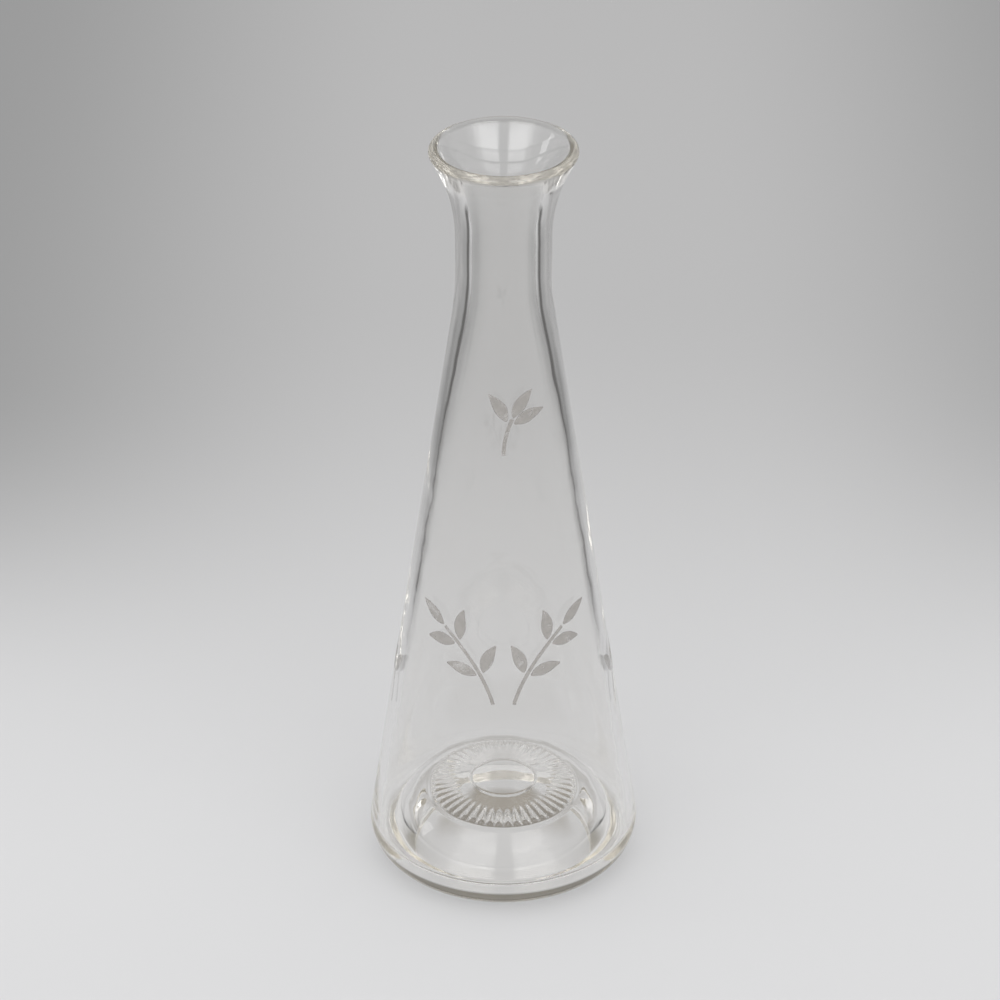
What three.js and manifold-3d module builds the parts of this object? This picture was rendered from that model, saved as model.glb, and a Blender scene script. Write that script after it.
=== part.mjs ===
// Conical glass carafe: one thick moulded vessel with a flared mouth and a fluted push-up base,
// and a leaf print of fired enamel on its front, each printed patch a separate film on the glass.
// Millimetres, +Z up. The origin is the centre of the ring it stands on, and the print faces -Y.

import * as THREE from 'three';
import { mergeVertices } from 'three/addons/utils/BufferGeometryUtils.js';
import Module from 'manifold-3d';

const wasm = await Module();
wasm.setup();

// Outside of the vessel
const BASE_RADIUS = 46.5;
const HEEL_RADIUS = 11.3;
const CONE_HEIGHT = 216.2;
const NECK_RADIUS = 15.7;
const SHOULDER_BEND = 121;
const NECK_LENGTH = 11.3;
const FLARE_BEND = 57;
const MOUTH_RADIUS = 24;
const LIP_RADIUS = 1.8;

// Glass thickness: thin in the cone, thicker at the neck and the floor
const BODY_WALL = 3.3;
const NECK_WALL = 5.4;
const WALL_TAPER = 72;
const HEEL_THICKNESS = 10.3;
const CROWN_THICKNESS = 3.8;
const INNER_CORNER = 2;
const FLOOR_FOOT = THREE.MathUtils.degToRad(63);
const FLOOR_SPREAD = 1.5;

// Push-up under the floor: a domed flank, a fluted ring that steps up from it, and a raised plain centre
const RING_WIDTH = 2.4;
const FLANK_BEND = 40;
const FLANK_WIDTH = 7.7;
const SUNBURST_HEIGHT = 21.3;
const SUNBURST_STEP = 1.8;
const PLATEAU_RADIUS = 11;
const PLATEAU_HEIGHT = 24.2;
const PLATEAU_STEP = 1.4;
const STEP_RUN = 0.4;
const FLUTE_COUNT = 48;
const FLUTE_START = 14.5;
const FLUTE_OVERRUN = 1.2;
const FLUTE_OFFSET = 1;
const FLUTE_OUTER_RADIUS = 2.2;
const FLUTE_INNER_RADIUS = 1.3;

// Enamel print: leaves on curved stems, with bare glass between the patches
const ENAMEL_THICKNESS = 0.25;
const ENAMEL_CLEARANCE = 0.3;
const PRINT_GAP = 0.7;
const STEM_WIDTH = 1.3;
const FIRST_LEAF = 10;
const LEAF_SPACING = 13;
const LEAF_LENGTH = 11;
const LEAF_WIDTH = 4.4;
const LEAF_BEND = 24;
const TIP_WIDTH = 0.5;
const LEAF_SWELL = 0.85;
const LEAF_LEAN = THREE.MathUtils.degToRad(38);

// Lower spray: two stems that part from a low point and bend outwards
const SPRAY_HEIGHT = 80;
const SPRAY_GAP = 7;
const SPRAY_HEADING = THREE.MathUtils.degToRad(16);
const SPRAY_BEND = 48;
const SPRAY_LENGTH = 31;

// Small sprigs: one set below the neck, and one round each side
const SPRIG_BEND = 30;
const SPRIG_LENGTH = 13;
const UPPER_SPRIG_DROP = 57;
const SIDE_SPRIG_HEIGHT = 62;
const SIDE_SPRIG_AZIMUTH = THREE.MathUtils.degToRad(80);

// Faceting
const ROUND_SEGMENTS = 64;
const ARC_STEPS = 5;
const CURVE_STEPS = 6;
const FLUTE_SIDES = 8;
const FILM_STEPS = 6;
const MERGE_DISTANCE = 1e-4;

// Points along an arc in the profile plane, both ends included
function arcPoints(centreX, centreZ, radius, startAngle, endAngle, steps) {
  const clockwise = endAngle < startAngle;
  const curve = new THREE.EllipseCurve(centreX, centreZ, radius, radius, startAngle, endAngle, clockwise);
  return curve.getPoints(steps);
}

// The straight cone touches the heel's arc and reaches the neck's radius at CONE_HEIGHT
const heelX = BASE_RADIUS - HEEL_RADIUS;
const heelToNeck = Math.hypot(heelX - NECK_RADIUS, CONE_HEIGHT - HEEL_RADIUS);
const coneAngle = Math.atan2(heelX - NECK_RADIUS, CONE_HEIGHT - HEEL_RADIUS)
  + Math.asin(HEEL_RADIUS / heelToNeck);
const shoulderTangent = SHOULDER_BEND * Math.tan(coneAngle / 2);
const neckStart = CONE_HEIGHT + shoulderTangent;
const flareStart = neckStart + NECK_LENGTH;
const shoulderStart = CONE_HEIGHT - shoulderTangent * Math.cos(coneAngle);

function coneRadius(z) {
  return NECK_RADIUS + (CONE_HEIGHT - z) * Math.tan(coneAngle);
}

// Outside radius at any height from the top of the heel to the start of the flare
function outerRadius(z) {
  if (z < shoulderStart) {
    return coneRadius(z);
  }
  if (z < neckStart) {
    const rise = neckStart - z;
    return NECK_RADIUS + SHOULDER_BEND - Math.sqrt(SHOULDER_BEND ** 2 - rise ** 2);
  }
  return NECK_RADIUS;
}

// The wall thickens smoothly from the cone to the neck
function wallThickness(z) {
  const share = THREE.MathUtils.smoothstep(z, neckStart - WALL_TAPER, neckStart);
  return THREE.MathUtils.lerp(BODY_WALL, NECK_WALL, share);
}

function innerRadius(z) {
  return outerRadius(z) - wallThickness(z);
}

// The round lip touches the outer flare, and the inner flare touches the lip
const boreRadius = NECK_RADIUS - NECK_WALL;
const flareAngle = Math.acos(1 - (MOUTH_RADIUS - NECK_RADIUS) / (FLARE_BEND + LIP_RADIUS));
const lipX = MOUTH_RADIUS - LIP_RADIUS;
const lipRise = (FLARE_BEND + LIP_RADIUS) * Math.sin(flareAngle);
const lipZ = flareStart + lipRise;
const lipReach = lipX - boreRadius;
const innerFlareBend = (lipReach ** 2 + lipRise ** 2 - LIP_RADIUS ** 2) / (2 * (lipReach - LIP_RADIUS));
const innerFlareAngle = Math.asin(lipRise / (innerFlareBend - LIP_RADIUS));

// The inner corner touches the inside of the cone and turns up into the floor's foot
const cornerZ = HEEL_THICKNESS + INNER_CORNER;
const cornerX = coneRadius(cornerZ) - BODY_WALL - INNER_CORNER / Math.cos(coneAngle);
const footX = cornerX - INNER_CORNER * Math.sin(FLOOR_FOOT);
const footZ = cornerZ - INNER_CORNER * Math.cos(FLOOR_FOOT);

// The fluted ring slopes down from the foot of the centre's step to its own outer edge
const flankFootX = heelX - RING_WIDTH;
const sunburstRadius = flankFootX - FLANK_WIDTH - STEP_RUN;
const sunburstInner = PLATEAU_RADIUS + STEP_RUN;
const sunburstInnerHeight = PLATEAU_HEIGHT - PLATEAU_STEP;

function sunburstHeight(radius) {
  const share = THREE.MathUtils.inverseLerp(sunburstInner, sunburstRadius, radius);
  return THREE.MathUtils.lerp(sunburstInnerHeight, SUNBURST_HEIGHT, share);
}

// Points along an arc that swells away from the axis between two points of the profile
function swollenPoints(from, to, bend, steps) {
  const chord = to.clone().sub(from);
  const side = new THREE.Vector2(-chord.y, chord.x).normalize();
  const middle = from.clone().add(to).multiplyScalar(0.5);
  const centre = middle.addScaledVector(side, -Math.sqrt(bend ** 2 - chord.lengthSq() / 4));
  const startAngle = Math.atan2(from.y - centre.y, from.x - centre.x);
  const endAngle = Math.atan2(to.y - centre.y, to.x - centre.x);
  return arcPoints(centre.x, centre.y, bend, startAngle, endAngle, steps);
}

function undersideProfile() {
  const flankTop = new THREE.Vector2(sunburstRadius + STEP_RUN, SUNBURST_HEIGHT - SUNBURST_STEP);
  const flankFoot = new THREE.Vector2(flankFootX, 0);
  return [
    new THREE.Vector2(0, PLATEAU_HEIGHT),
    new THREE.Vector2(PLATEAU_RADIUS, PLATEAU_HEIGHT),
    new THREE.Vector2(sunburstInner, sunburstInnerHeight),
    new THREE.Vector2(sunburstRadius, SUNBURST_HEIGHT),
    ...swollenPoints(flankTop, flankFoot, FLANK_BEND, ARC_STEPS),
  ];
}

function outsideProfile() {
  const heel = arcPoints(heelX, HEEL_RADIUS, HEEL_RADIUS, -Math.PI / 2, coneAngle, ARC_STEPS);
  const shoulder = arcPoints(
    NECK_RADIUS + SHOULDER_BEND, neckStart, SHOULDER_BEND, Math.PI + coneAngle, Math.PI, ARC_STEPS);
  const flare = arcPoints(
    NECK_RADIUS + FLARE_BEND, flareStart, FLARE_BEND, Math.PI, Math.PI - flareAngle, CURVE_STEPS);
  return [...heel, ...shoulder, ...flare];
}

function lipProfile() {
  return arcPoints(lipX, lipZ, LIP_RADIUS, -flareAngle, Math.PI - innerFlareAngle, CURVE_STEPS);
}

function insideProfile() {
  const flare = arcPoints(
    boreRadius + innerFlareBend, flareStart, innerFlareBend, Math.PI - innerFlareAngle, Math.PI, CURVE_STEPS);
  const shoulder = [];
  for (let step = 0; step <= CURVE_STEPS; step += 1) {
    const z = neckStart - WALL_TAPER * step / CURVE_STEPS;
    shoulder.push(new THREE.Vector2(innerRadius(z), z));
  }
  const corner = arcPoints(cornerX, cornerZ, INNER_CORNER, coneAngle, -Math.PI / 2 - FLOOR_FOOT, ARC_STEPS);
  return [...flare, ...shoulder, ...corner];
}

// The floor is a dome, steep at its foot and nearly level over the push-up
function floorProfile() {
  const crown = PLATEAU_HEIGHT + CROWN_THICKNESS;
  const power = Math.tan(FLOOR_FOOT) * footX / (crown - footZ);
  const points = [];
  for (let step = 1; step <= CURVE_STEPS; step += 1) {
    const share = 1 - (step / CURVE_STEPS) ** FLOOR_SPREAD;
    const height = THREE.MathUtils.lerp(crown, footZ, share ** power);
    points.push(new THREE.Vector2(footX * share, height));
  }
  return points;
}

// A closed solid for joining and cutting, from a geometry whose shared points are merged
function toSolid(geometry) {
  const plain = geometry.clone();
  plain.deleteAttribute('normal');
  plain.deleteAttribute('uv');
  const merged = mergeVertices(plain, MERGE_DISTANCE);
  const triangles = [];
  const index = merged.index.array;
  for (let at = 0; at < index.length; at += 3) {
    const [a, b, c] = [index[at], index[at + 1], index[at + 2]];
    if (a !== b && b !== c && c !== a) {
      triangles.push(a, b, c);
    }
  }
  return new wasm.Manifold(new wasm.Mesh({
    numProp: 3,
    vertProperties: new Float32Array(merged.attributes.position.array),
    triVerts: new Uint32Array(triangles),
  }));
}

function toGeometry(solid) {
  const mesh = solid.getMesh();
  const geometry = new THREE.BufferGeometry();
  geometry.setAttribute('position', new THREE.BufferAttribute(new Float32Array(mesh.vertProperties), 3));
  geometry.setIndex(new THREE.BufferAttribute(new Uint32Array(mesh.triVerts), 1));
  geometry.computeVertexNormals();
  return geometry;
}

// One tapered flute that lies along the ring, sunk in the glass and run out through the ring's edge
function fluteSolid(turn) {
  const fluteEnd = sunburstRadius + FLUTE_OVERRUN;
  const inner = new THREE.Vector3(FLUTE_START, 0, sunburstHeight(FLUTE_START) - FLUTE_OFFSET);
  const outer = new THREE.Vector3(fluteEnd, 0, sunburstHeight(fluteEnd) - FLUTE_OFFSET);
  const along = outer.clone().sub(inner);
  const fluteLength = along.length();
  const flute = new THREE.CylinderGeometry(FLUTE_OUTER_RADIUS, FLUTE_INNER_RADIUS, fluteLength, FLUTE_SIDES);
  const upright = new THREE.Vector3(0, 1, 0);
  flute.applyQuaternion(new THREE.Quaternion().setFromUnitVectors(upright, along.clone().normalize()));
  const middle = inner.clone().add(outer).multiplyScalar(0.5);
  flute.translate(middle.x, middle.y, middle.z);
  flute.rotateZ(turn);
  return toSolid(flute);
}

function vesselGeometry() {
  const profile = [
    ...undersideProfile(), ...outsideProfile(), ...lipProfile(), ...insideProfile(), ...floorProfile(),
  ];
  const lathe = new THREE.LatheGeometry(profile, ROUND_SEGMENTS);
  lathe.rotateX(Math.PI / 2);
  let solid = toSolid(lathe);
  for (let flute = 0; flute < FLUTE_COUNT; flute += 1) {
    solid = solid.subtract(fluteSolid(2 * Math.PI * (flute + 0.5) / FLUTE_COUNT));
  }
  return toGeometry(solid);
}

// Headings turn clockwise from straight up the cone
function headingVector(heading) {
  return new THREE.Vector2(Math.sin(heading), Math.cos(heading));
}

// A printed stroke follows an arc in the flat print, clockwise where its bend is above zero
function strokePoint(stroke, distance) {
  const heading = stroke.heading + distance / stroke.bend;
  const startSide = headingVector(stroke.heading + Math.PI / 2);
  const hereSide = headingVector(heading + Math.PI / 2);
  const point = stroke.start.clone();
  point.addScaledVector(startSide, stroke.bend);
  point.addScaledVector(hereSide, -stroke.bend);
  return { point, heading };
}

// Bends a thin block along a stroke and wraps it round the cone. The print's x runs round the cone,
// its y runs up the slope, and place.side is -1 for a mirror image
function filmGeometry(stroke, place) {
  const film = new THREE.BoxGeometry(1, 1, 1, 2, FILM_STEPS, 1);
  const position = film.attributes.position;
  for (let at = 0; at < position.count; at += 1) {
    const share = position.getY(at) + 0.5;
    const { point, heading } = strokePoint(stroke, share * stroke.length);
    const across = place.side * position.getX(at) * stroke.widthAt(share);
    point.addScaledVector(headingVector(heading + Math.PI / 2), across);

    const z = place.height + point.y * Math.cos(coneAngle);
    const turn = place.azimuth + place.side * point.x / coneRadius(z);
    const radius = coneRadius(z) + ENAMEL_CLEARANCE + (position.getZ(at) + 0.5) * ENAMEL_THICKNESS;
    position.setXYZ(at, radius * Math.sin(turn), -radius * Math.cos(turn), z);
  }
  film.computeVertexNormals();
  return film;
}

function stemWidth() {
  return STEM_WIDTH;
}

// A leaf swells below its middle and narrows to a blunt tip at both ends
function leafWidth(share) {
  return THREE.MathUtils.lerp(TIP_WIDTH, LEAF_WIDTH, Math.sin(Math.PI * share ** LEAF_SWELL));
}

const carafe = new THREE.Group();

function addPiece(name, geometry, material) {
  const mesh = new THREE.Mesh(geometry, material);
  mesh.name = name;
  carafe.add(mesh);
}

function addFilm(name, stroke, place) {
  const enamel = new THREE.MeshStandardMaterial({ color: 0xb2aea8, roughness: 0.6, metalness: 0 });
  addPiece(name, filmGeometry(stroke, place), enamel);
}

function leafStroke(start, heading, bend) {
  return { start, heading, bend, length: LEAF_LENGTH, widthAt: leafWidth };
}

// A printed branch: its stem, pairs of leaves that curl away from it, and one leaf at its end
function addBranch(name, place, stem) {
  addFilm(`${name}_stem`, { ...stem, widthAt: stemWidth }, place);
  const leafOffset = (STEM_WIDTH / 2 + PRINT_GAP) / Math.sin(LEAF_LEAN);
  let pair = 0;
  for (let distance = FIRST_LEAF; distance < stem.length; distance += LEAF_SPACING) {
    pair += 1;
    const joint = strokePoint(stem, distance);
    for (const [label, hand] of [['outer', 1], ['inner', -1]]) {
      const heading = joint.heading + hand * LEAF_LEAN;
      const start = joint.point.clone().addScaledVector(headingVector(heading), leafOffset);
      addFilm(`${name}_${label}_leaf_${pair}`, leafStroke(start, heading, hand * LEAF_BEND), place);
    }
  }
  const end = strokePoint(stem, stem.length);
  end.point.addScaledVector(headingVector(end.heading), PRINT_GAP);
  addFilm(`${name}_end_leaf`, leafStroke(end.point, end.heading, stem.bend), place);
}

const glass = new THREE.MeshStandardMaterial({
  color: 0xe3e4df, roughness: 0.04, metalness: 0, transparent: true, opacity: 0.35,
});
addPiece('glass_vessel', vesselGeometry(), glass);

const sprayStem = {
  start: new THREE.Vector2(SPRAY_GAP / 2, 0), heading: SPRAY_HEADING, bend: SPRAY_BEND, length: SPRAY_LENGTH,
};
const sprigStem = { start: new THREE.Vector2(0, 0), heading: 0, bend: SPRIG_BEND, length: SPRIG_LENGTH };
for (const [label, side] of [['left', -1], ['right', 1]]) {
  const sideAzimuth = side * SIDE_SPRIG_AZIMUTH;
  addBranch(`spray_${label}`, { side, azimuth: 0, height: SPRAY_HEIGHT }, sprayStem);
  addBranch(`side_sprig_${label}`, { side, azimuth: sideAzimuth, height: SIDE_SPRIG_HEIGHT }, sprigStem);
}
addBranch('upper_sprig', { side: 1, azimuth: 0, height: neckStart - UPPER_SPRIG_DROP }, sprigStem);

export default carafe;
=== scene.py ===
"""Conical glass decanter: a moulded vessel with a fluted push-up base and a worn leaf print in enamel."""

import math

import bpy
from bpy.props import FloatProperty, FloatVectorProperty, IntProperty, PointerProperty
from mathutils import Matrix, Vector


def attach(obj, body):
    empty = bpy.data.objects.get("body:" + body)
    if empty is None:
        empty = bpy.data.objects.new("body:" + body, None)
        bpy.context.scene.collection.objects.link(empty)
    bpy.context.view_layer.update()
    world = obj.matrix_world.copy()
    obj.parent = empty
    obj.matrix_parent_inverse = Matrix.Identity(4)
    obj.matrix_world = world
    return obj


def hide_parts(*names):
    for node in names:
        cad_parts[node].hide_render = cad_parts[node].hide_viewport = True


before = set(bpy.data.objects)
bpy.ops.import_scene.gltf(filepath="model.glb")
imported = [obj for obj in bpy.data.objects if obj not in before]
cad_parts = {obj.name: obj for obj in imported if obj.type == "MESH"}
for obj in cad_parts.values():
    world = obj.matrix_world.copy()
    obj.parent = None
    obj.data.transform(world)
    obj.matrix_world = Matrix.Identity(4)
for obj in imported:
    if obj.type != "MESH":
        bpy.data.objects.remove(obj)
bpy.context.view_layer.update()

bl_info = {
    "name": "Glass decanter",
    "version": (1, 0, 0),
    "blender": (4, 5, 0),
    "location": "View3D > Sidebar > Decanter",
    "description": "Builds a conical glass decanter with a fluted base and an enamel leaf print",
    "category": "Add Mesh",
}

PHOTO_SIDE = 1000
SENSOR_WIDTH = 36.0
FLOOR_CORNERS = 64
MOULDED_GLASS = "Moulded glass"
FIRED_ENAMEL = "Fired enamel"
STUDIO_FLOOR = "Studio floor"


# Settings

def length(name, description, default):
    return FloatProperty(name=name, description=description, default=default, unit="LENGTH", precision=5)


def angle(name, description, degrees):
    return FloatProperty(name=name, description=description, default=math.radians(degrees), unit="ROTATION")


def colour(name, description, default):
    return FloatVectorProperty(
        name=name, description=description, default=default, subtype="COLOR", size=3, min=0.0, max=1.0)


class VesselSizes(bpy.types.PropertyGroup):
    """Sizes of the turned glass, outside, inside and under the floor."""

    base_radius: length("Base radius", "Widest radius, at the heel", 0.0465)
    heel_radius: length("Heel radius", "Rounding between the wall and the standing ring", 0.0113)
    cone_height: length("Cone height", "Height at which the cone would reach the neck's radius", 0.2162)
    neck_radius: length("Neck radius", "Outside radius of the neck", 0.0157)
    shoulder_bend: length("Shoulder bend", "Radius of the hollow curve between cone and neck", 0.121)
    neck_length: length("Neck length", "Straight part of the neck", 0.0113)
    flare_bend: length("Flare bend", "Radius of the hollow curve of the mouth", 0.057)
    mouth_radius: length("Mouth radius", "Outside radius of the lip", 0.024)
    lip_radius: length("Lip radius", "Rounding of the lip", 0.0018)
    body_wall: length("Body wall", "Glass thickness in the cone", 0.0033)
    neck_wall: length("Neck wall", "Glass thickness in the neck", 0.0054)
    wall_taper: length("Wall taper", "Height over which the wall thickens towards the neck", 0.072)
    heel_thickness: length("Heel thickness", "Glass under the lowest ring of the floor", 0.0103)
    crown_thickness: length("Crown thickness", "Glass over the middle of the push-up", 0.0038)
    inner_corner: length("Inner corner", "Rounding between the wall and the floor", 0.002)
    floor_foot: angle("Floor foot", "Slope of the domed floor where it meets the wall", 63.0)
    ring_width: length("Ring width", "Flat ring that the vessel stands on", 0.0024)
    flank_bend: length("Flank bend", "Radius of the domed flank of the push-up", 0.04)
    flank_width: length("Flank width", "From the standing ring to the fluted ring's step", 0.0077)
    sunburst_height: length("Sunburst height", "Height of the fluted ring's outer edge", 0.0213)
    sunburst_step: length("Sunburst step", "Step from the flank up to the fluted ring", 0.0018)
    plateau_radius: length("Plateau radius", "Raised plain centre of the push-up", 0.011)
    plateau_height: length("Plateau height", "Height of the plain centre", 0.0242)
    plateau_step: length("Plateau step", "Step from the fluted ring up to the centre", 0.0014)
    step_run: length("Step run", "Width over which each step rises", 0.0004)
    flute_start: length("Flute start", "Radius at which the flutes begin", 0.0145)
    flute_depth: length("Flute depth", "Depth that a flute would have at the ring's edge", 0.0011)
    flute_inset: length("Flute inset", "How far inside the edge a flute starts to end", 0.0017)
    flute_fade: length("Flute fade", "Width over which a flute ends", 0.0012)
    flute_count: IntProperty(name="Flutes", description="Number of flutes in the ring", default=48, min=3)
    round_segments: IntProperty(name="Segments", description="Faces round the vessel", default=336, min=24)


class PrintSizes(bpy.types.PropertyGroup):
    """Sizes of the printed leaves and stems."""

    enamel_thickness: length("Enamel thickness", "Thickness of the fired film", 0.00005)
    enamel_clearance: length("Enamel clearance", "Gap between the film and the glass", 0.00003)
    print_gap: length("Print gap", "Bare glass between two patches", 0.0007)
    stem_width: length("Stem width", "Width of a printed stem", 0.0013)
    first_leaf: length("First leaf", "Distance along a stem to its first pair of leaves", 0.010)
    leaf_spacing: length("Leaf spacing", "Distance between pairs of leaves", 0.013)
    leaf_length: length("Leaf length", "Length of a leaf", 0.011)
    leaf_width: length("Leaf width", "Width of a leaf", 0.0044)
    leaf_bend: length("Leaf bend", "Radius of a leaf's curl", 0.024)
    leaf_lean: angle("Leaf lean", "Angle between a leaf and its stem", 38.0)
    tip_width: length("Tip width", "Width of a leaf's blunt ends", 0.0005)
    spray_height: length("Spray height", "Height of the foot of the lower spray", 0.080)
    spray_gap: length("Spray gap", "Distance between the two stems of the spray", 0.007)
    spray_heading: angle("Spray heading", "Lean of the spray's stems at their feet", 16.0)
    spray_bend: length("Spray bend", "Radius of the spray's stems", 0.048)
    spray_length: length("Spray length", "Length of the spray's stems", 0.031)
    sprig_bend: length("Sprig bend", "Radius of a sprig's stem", 0.030)
    sprig_length: length("Sprig length", "Length of a sprig's stem", 0.013)
    upper_sprig_drop: length("Upper sprig drop", "Distance of the upper sprig below the neck", 0.057)
    side_sprig_height: length("Side sprig height", "Height of the foot of the side sprigs", 0.062)
    side_sprig_azimuth: angle("Side sprig azimuth", "Turn of the side sprigs from the front", 80.0)


class FinishColours(bpy.types.PropertyGroup):
    """Colours of the glass, the enamel and the studio."""

    glass: colour("Glass", "Colour of light that has crossed much glass", (0.80, 0.78, 0.73))
    glass_skin: colour("Glass skin", "Colour of light at each surface", (0.965, 0.962, 0.957))
    # Painted shade: a dark tone laid into the glass's colour at the front of the heel, lip and fluted ring,
    # and round the rim.
    glass_painted_shade: colour("Glass edge", "Dark tone of heel, lip and flutes", (0.13, 0.115, 0.085))
    enamel: colour("Enamel", "Sound enamel", (0.335, 0.317, 0.295))
    enamel_worn: colour("Worn enamel", "Rubbed and thinned enamel", (0.39, 0.372, 0.35))
    # The near, far and edge floor colours paint the light's falloff: the floor is darker behind the object
    # and to its sides.
    floor_near: colour("Near floor", "Floor in front of the object", (0.68, 0.68, 0.685))
    floor_far: colour("Far floor", "Floor well behind the object", (0.43, 0.428, 0.428))
    floor_edge: colour("Floor edge", "Floor behind the object and to its sides", (0.30, 0.30, 0.30))
    sky_top: colour("Overhead light", "Light from above", (0.52, 0.52, 0.525))
    sky_side: colour("Side light", "Light from the sides", (0.40, 0.40, 0.40))
    sky_back: colour("Back light", "Light from behind the object", (0.35, 0.35, 0.35))
    sky_panel: colour("Panel light", "Light from the two broad panels in front", (0.95, 0.95, 0.95))
    horizon: colour("Horizon", "Backdrop beyond the floor", (0.22, 0.22, 0.22))
    shade: colour("Shade", "Floor under the vessel, away from the light", (0.28, 0.25, 0.205))
    # Painted dark reflection: the cards are dark patches painted on the floor, which only rays through or off
    # the glass show.
    card: colour("Card", "Dark cards on the floor, seen through the glass", (0.09, 0.088, 0.085))


class StageSettings(bpy.types.PropertyGroup):
    """Camera, light and floor of the studio."""

    focal_pixels: FloatProperty(name="Focal length", description="In pixels of the picture", default=3827.2)
    camera_pitch: angle("Camera pitch", "How far the camera looks down", 30.771)
    camera_distance: length("Camera distance", "From the camera to its target", 1.2796)
    target_height: length("Target height", "Height of the camera's target", 0.13798)
    axis_pixels: FloatProperty(name="Axis", description="Column of the picture at the axis", default=503.5)
    floor_drop: length("Floor drop", "Gap between the floor and the standing ring", 0.0001)
    floor_radius: length("Floor radius", "Radius of the round floor", 4.0)
    sky_strength: FloatProperty(name="Sky strength", description="Light from all round", default=2.0)
    glint_strength: FloatProperty(
        name="Glint strength", description="What the panels gain where the glass shows them", default=2.0)
    lamp_place: FloatVectorProperty(
        name="Lamp place", description="Middle of the window lamp", default=(-1.3, 0.1, 0.6),
        subtype="TRANSLATION", unit="LENGTH")
    lamp_width: length("Lamp width", "Width of the window lamp", 0.3)
    lamp_height: length("Lamp height", "Height of the window lamp's face", 0.4)
    lamp_aim: length("Lamp aim", "Height on the axis at which the window lamp points", 0.13)
    lamp_power: FloatProperty(
        name="Lamp power", description="Power of the window lamp", default=1.1, unit="POWER")
    light_bounces: IntProperty(
        name="Light bounces", description="How often light may bounce inside the glass", default=160, min=1)


# Node trees

class Wire:
    """One socket of a node tree, so that node maths reads as plain expressions."""

    def __init__(self, tree, socket=None):
        self.tree = tree
        self.socket = socket

    def node(self, kind, settings=None, values=None, output=0):
        """Adds a node, sets it up, fills its sockets with values or links, and returns one of its outputs."""
        made = self.tree.nodes.new(kind)
        for setting, value in (settings or {}).items():
            setattr(made, setting, value)
        for key, value in (values or {}).items():
            if isinstance(value, Wire):
                self.tree.links.new(value.socket, made.inputs[key])
            else:
                made.inputs[key].default_value = value
        return Wire(self.tree, made.outputs[output] if made.outputs else None)

    def beside(self, output):
        """Another output of the same node."""
        return Wire(self.tree, self.socket.node.outputs[output])

    def maths(self, operation, first, second=None):
        values = {0: first} if second is None else {0: first, 1: second}
        return self.node("ShaderNodeMath", {"operation": operation}, values)

    def __add__(self, other):
        return self.maths("ADD", self, other)

    def __radd__(self, other):
        return self.maths("ADD", other, self)

    def __sub__(self, other):
        return self.maths("SUBTRACT", self, other)

    def __rsub__(self, other):
        return self.maths("SUBTRACT", other, self)

    def __mul__(self, other):
        return self.maths("MULTIPLY", self, other)

    def __rmul__(self, other):
        return self.maths("MULTIPLY", other, self)

    def __truediv__(self, other):
        return self.maths("DIVIDE", self, other)

    def __rtruediv__(self, other):
        return self.maths("DIVIDE", other, self)

    def __pow__(self, other):
        return self.maths("POWER", self, other)

    def __neg__(self):
        return self.maths("MULTIPLY", self, -1.0)

    def __abs__(self):
        return self.maths("ABSOLUTE", self)

    def sine(self):
        return self.maths("SINE", self)

    def cosine(self):
        return self.maths("COSINE", self)

    def rounded(self):
        return self.maths("ROUND", self)

    def larger(self, other):
        return self.maths("MAXIMUM", self, other)

    def smooth(self, low, high, start=0.0, end=1.0):
        """Eases from start to end as the value goes from low to high."""
        return self.node(
            "ShaderNodeMapRange", {"interpolation_type": "SMOOTHSTEP"},
            {"Value": self, "From Min": low, "From Max": high, "To Min": start, "To Max": end})

    def near(self, mark, low, high):
        """Eases in between two distances from a mark."""
        return self.smooth(mark + low, mark + high)

    def mixed(self, first, second):
        """Two colours mixed by this value."""
        return self.node(
            "ShaderNodeMix", {"data_type": "RGBA"}, {0: self, 6: first, 7: second}, 2)


def opaque(rgb):
    return (*rgb, 1.0)


# Shape of the vessel

FLANK_STEPS = 24
HEEL_STEPS = 20
CURVE_STEPS = 16
STRAIGHT_STEPS = 8
TAPER_STEPS = 24
DOME_STEPS = 36
DOME_CROWDING = 1.5
CORNER_STEPS = 4
CORNER_BEND = 0.15
CORNER_SHARE = 0.45
UNDERSIDE_SPACING = 0.0006
SAME_POINT = 1e-6


def arc_points(centre_x, centre_z, radius, start, end, steps=CURVE_STEPS):
    turns = [start + (end - start) * step / steps for step in range(steps + 1)]
    return [
        Vector((centre_x + radius * math.cos(turn), centre_z + radius * math.sin(turn))) for turn in turns]


def points_between(start, end):
    """Points along a straight line, without its two ends."""
    return [start.lerp(end, step / STRAIGHT_STEPS) for step in range(1, STRAIGHT_STEPS)]


def ease(share):
    share = min(max(share, 0.0), 1.0)
    return share * share * (3.0 - 2.0 * share)


def mix(start, end, share):
    return start + (end - start) * share


def softened(corners, radius):
    """A path whose corners are rounded off within the given radius."""
    path = [corners[0]]
    for before, corner, after in zip(corners, corners[1:], corners[2:]):
        back, ahead = before - corner, after - corner
        if math.pi - back.angle(ahead) < CORNER_BEND:
            path.append(corner)
            continue
        start = corner + back.normalized() * min(radius, back.length * CORNER_SHARE)
        end = corner + ahead.normalized() * min(radius, ahead.length * CORNER_SHARE)
        for step in range(CORNER_STEPS + 1):
            share = step / CORNER_STEPS
            path.append(start.lerp(corner, share).lerp(corner.lerp(end, share), share))
    path.append(corners[-1])
    return path


def resampled(path, spacing):
    """Adds points along the long straight parts of a path."""
    points = [path[0]]
    for start, end in zip(path, path[1:]):
        parts = max(1, round((end - start).length / spacing))
        points += [start.lerp(end, part / parts) for part in range(1, parts + 1)]
    return points


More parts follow.
